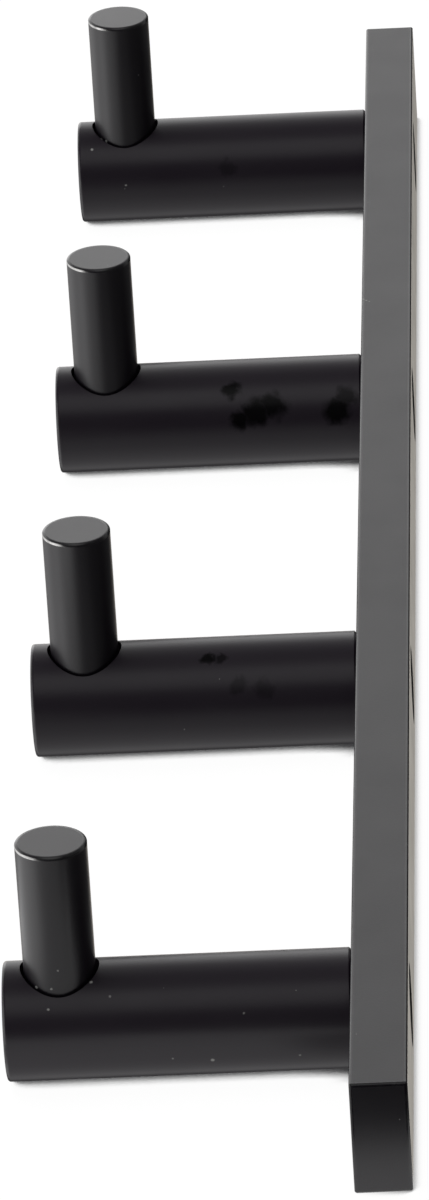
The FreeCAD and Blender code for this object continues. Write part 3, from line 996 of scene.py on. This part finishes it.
def floor_material(settings):
    """White floor that keeps a soft shadow near the rail, and a painted contact shadow in its glow where
    the rail touches it.
    """
    material = bpy.data.materials.new("floor_white")
    tree = clear_tree(material)
    x, y, _ = Wire.node(tree, "ShaderNodeTexCoord", output="Object").axes()
    near = radius_of(x, y).ease(*SHADOW_FADE, settings.shadow, 0.0)
    # Painted shadow: the floor's glow darkens along the seam behind the bar and where the rail nearly
    # touches the floor.
    under = openness(tree, CONTACT_REACH)
    beside = openness(tree, SEAM_REACH)
    seam = beside.ease(*SEAM_FADE, SEAM_SHADOW_DARK, 0.0) * y.ease(BAR_LOW.y, BAR_HIGH.y)
    touch = under.ease(*CONTACT_FADE).least(1.0 - seam)
    glow = Wire.node(tree, "ShaderNodeEmission", None, {
        "Color": touch.blend(rgba(settings.contact_shadow_colour), rgba(settings.floor_colour)),
        "Strength": FLOOR_STRENGTH})
    matt = Wire.node(tree, "ShaderNodeBsdfDiffuse", None, {"Color": rgba(settings.floor_colour)})
    shader = Wire.node(tree, "ShaderNodeMixShader", None, {0: near, 1: glow, 2: matt})
    Wire.node(tree, "ShaderNodeOutputMaterial", None, {"Surface": shader})
    return material


# The camera, fitted to the photograph: where it aims, how far away it stands, on which side (0 is
# along -Y, 90 along +X), how high and how it leans.
CAMERA_AIM = Vector((142.04, -30.0, 57.35)) * MM
CAMERA_DISTANCE = 1525.5 * MM
CAMERA_AZIMUTH = math.radians(92.785)
CAMERA_HEIGHT = math.radians(25.479)
CAMERA_LEAN = math.radians(-3.632)


def add_camera(settings):
    """The camera that sees the rail as the photograph does."""
    back = Vector((math.sin(CAMERA_AZIMUTH) * math.cos(CAMERA_HEIGHT),
                   -math.cos(CAMERA_AZIMUTH) * math.cos(CAMERA_HEIGHT),
                   math.sin(CAMERA_HEIGHT)))
    right = (-back).cross(Vector((0, 0, 1))).normalized()
    up = right.cross(-back)
    lean_right = right * math.cos(CAMERA_LEAN) + up * math.sin(CAMERA_LEAN)
    lean_up = up * math.cos(CAMERA_LEAN) - right * math.sin(CAMERA_LEAN)
    turn = Matrix((lean_right, lean_up, back)).transposed()
    bpy.ops.object.camera_add(location=CAMERA_AIM + back * CAMERA_DISTANCE, rotation=turn.to_euler())
    camera = bpy.context.object
    camera.name = "studio_camera"
    camera.data.lens = settings.lens
    camera.data.sensor_width = CAMERA_FRAME
    camera.data.clip_start, camera.data.clip_end = CAMERA_SEES
    return camera


class TOWELHOOK_OT_set_stage(Operator):
    """Add the white floor, the cards, the soft lights and the camera"""

    bl_idname = "towel_hook.set_stage"
    bl_label = "Set the Stage"

    def execute(self, context):
        settings = context.scene.towel_hook_studio
        bpy.ops.object.select_all(action="DESELECT")
        bpy.ops.mesh.primitive_plane_add(size=FLOOR_SIZE, location=(0, 0, CAD_BOX[0].z - FLOOR_GAP))
        floor = context.object
        floor.name = "studio_floor"
        floor.data.materials.append(floor_material(settings))
        floor.visible_glossy = False
        floor.visible_diffuse = False
        floor.visible_shadow = False
        for order, card in enumerate(CARDS):
            add_card(*card, below=CARD_DEPTH + CARD_STEP * order)
        # Dark cards under the pegs stand in for the shadow on the floor beneath them.
        for hook in HOOKS:
            low, high = (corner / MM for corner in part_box(f"peg_{hook}"))
            middle = (low.x + high.x) / 2
            add_card(f"shade_peg_{hook}", middle - PEG_SHADE, middle + PEG_SHADE,
                     low.y - PEG_SHADE_FREE_END, high.y + PEG_SHADE_BAR_END,
                     PEG_SHADE_MARGIN, PEG_SHADE_LEVEL)
        add_lamp("overhead_lamp", LAMP_PLACE, (0, 0, 0), LAMP_SIZE, LAMP_POWER)
        context.scene.world = light_world(settings)
        context.scene.camera = add_camera(settings)
        context.scene.view_settings.view_transform = "Standard"
        return {"FINISHED"}


class TOWELHOOK_PT_rail(Panel):
    """Settings and steps that dress the towel hook rail"""

    bl_idname = "TOWELHOOK_PT_rail"
    bl_label = "Towel Hook Rail"
    bl_space_type = "VIEW_3D"
    bl_region_type = "UI"
    bl_category = "Towel Hooks"

    def draw(self, context):
        for name, group in SETTINGS.items():
            box = self.layout.box()
            box.label(text=group.__doc__)
            for setting in group.__annotations__:
                box.prop(getattr(context.scene, name), setting)
        column = self.layout.column()
        for step in OPERATORS:
            column.operator(step.bl_idname)


OPERATORS = (
    TOWELHOOK_OT_coat_bar,
    TOWELHOOK_OT_coat_pegs,
    TOWELHOOK_OT_coat_pins,
    TOWELHOOK_OT_model_peg_screws,
    TOWELHOOK_OT_model_pin_studs,
    TOWELHOOK_OT_model_grub_screws,
    TOWELHOOK_OT_set_stage,
)
SETTINGS = {
    "towel_hook_coat": CoatSettings,
    "towel_hook_screws": ScrewSettings,
    "towel_hook_steel": SteelSettings,
    "towel_hook_studio": StudioSettings,
}


def register():
    for item in (*SETTINGS.values(), *OPERATORS, TOWELHOOK_PT_rail):
        bpy.utils.register_class(item)
    for name, group in SETTINGS.items():
        setattr(bpy.types.Scene, name, PointerProperty(type=group))


def unregister():
    for name in SETTINGS:
        delattr(bpy.types.Scene, name)
    for item in (TOWELHOOK_PT_rail, *reversed(OPERATORS), *SETTINGS.values()):
        bpy.utils.unregister_class(item)


def main():
    register()
    bpy.ops.towel_hook.coat_bar()
    bpy.ops.towel_hook.coat_pegs()
    bpy.ops.towel_hook.coat_pins()
    bpy.ops.towel_hook.model_peg_screws()
    bpy.ops.towel_hook.model_pin_studs()
    bpy.ops.towel_hook.model_grub_screws()
    bpy.ops.towel_hook.set_stage()


if __name__ == "__main__":
    main()
